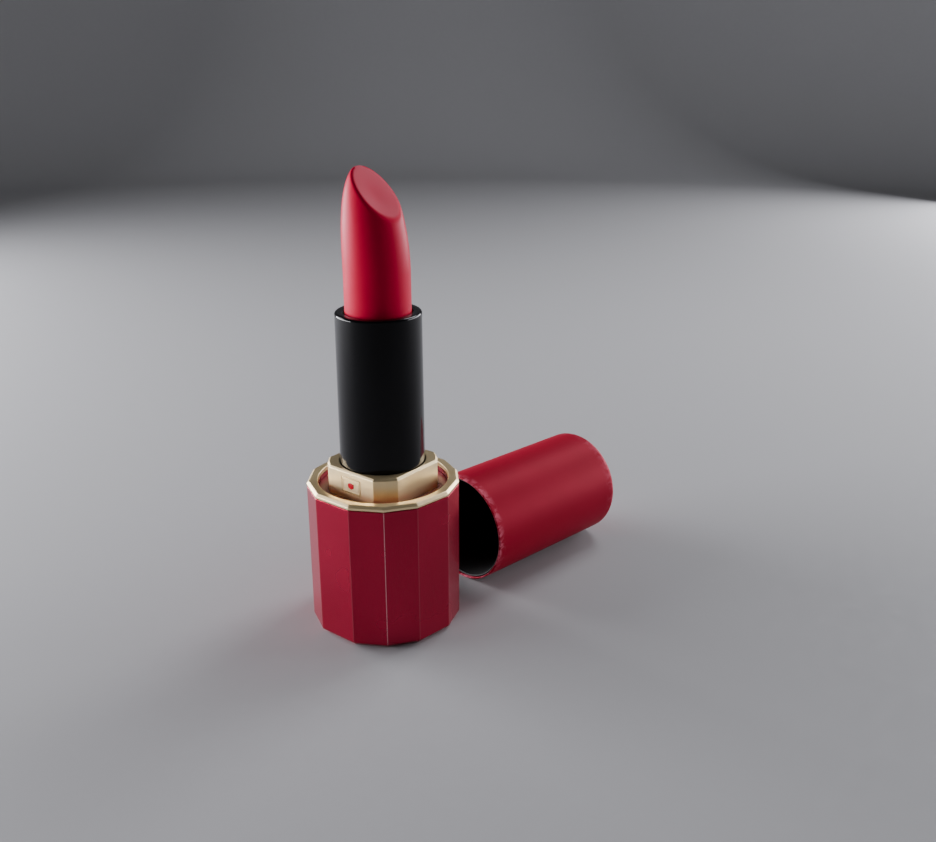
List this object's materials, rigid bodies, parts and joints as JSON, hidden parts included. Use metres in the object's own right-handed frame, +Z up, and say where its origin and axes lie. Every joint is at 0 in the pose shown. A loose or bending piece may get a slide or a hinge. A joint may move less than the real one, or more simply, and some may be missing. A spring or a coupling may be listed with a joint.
{
  "type": "lipstick case",
  "caption": "Open swivel lipstick: faceted lacquered base, pale-gold collar, black turning sleeve, slanted bullet, round cap lying behind.",
  "frame": {"origin": "centre of the base's underside, on the surface it stands on", "axes": "+Z up along the case's axis, -Y the emblem's side; the cap lies on its side towards +Y"},
  "size_m": [0.0336, 0.0717, 0.0859],
  "materials": {
    "base_lacquer": "clear high-gloss lacquer",
    "cap_lacquer": "satin lacquer",
    "pale_gold": "polished, pale gold plating",
    "gloss_black": "gloss",
    "liner_black": "matte moulded",
    "lip_colour": "moulded wax, satin",
    "weight_steel": "turned",
    "natural_plastic": "moulded, satin",
    "silicone": "matte",
    "red_enamel": "gloss enamel"
  },
  "bodies": {
    "base": {"base_shell": "base_lacquer", "bottom_disc": "liner_black", "base_weight": "weight_steel", "base_liner": "natural_plastic", "friction_ring": "silicone", "rim_trim": "pale_gold", "top_plate": "base_lacquer", "collar": "pale_gold", "emblem_plate": "pale_gold", "emblem_dot": "red_enamel", "inner_tube": "natural_plastic"},
    "sleeve": {"sleeve_shell": "gloss_black", "spiral_cam": "natural_plastic"},
    "carrier": {"bullet_cup": "pale_gold", "bullet": "lip_colour"},
    "cap": {"cap_shell": "cap_lacquer", "cap_liner": "liner_black"}
  },
  "joints": [
    {"name": "sleeve_twist", "type": "hinge", "parent": "base", "child": "sleeve", "pos_m": [0, 0, 0.038], "axis": [0, 0, 1], "range_deg": [0, 630]},
    {"name": "bullet_rise", "type": "slide", "parent": "base", "child": "carrier", "axis": [0, 0, 1], "range_m": [-0.0281, 0]},
    {"name": "cap_pull", "type": "slide", "parent": "base", "child": "cap", "axis": [0.1444, 0.9895, 0], "range_m": [0, 0.06]}
  ],
  "couplings": [
    {"joint": "bullet_rise", "follows": "sleeve_twist", "m_per_rad": -0.0025465}
  ]
}
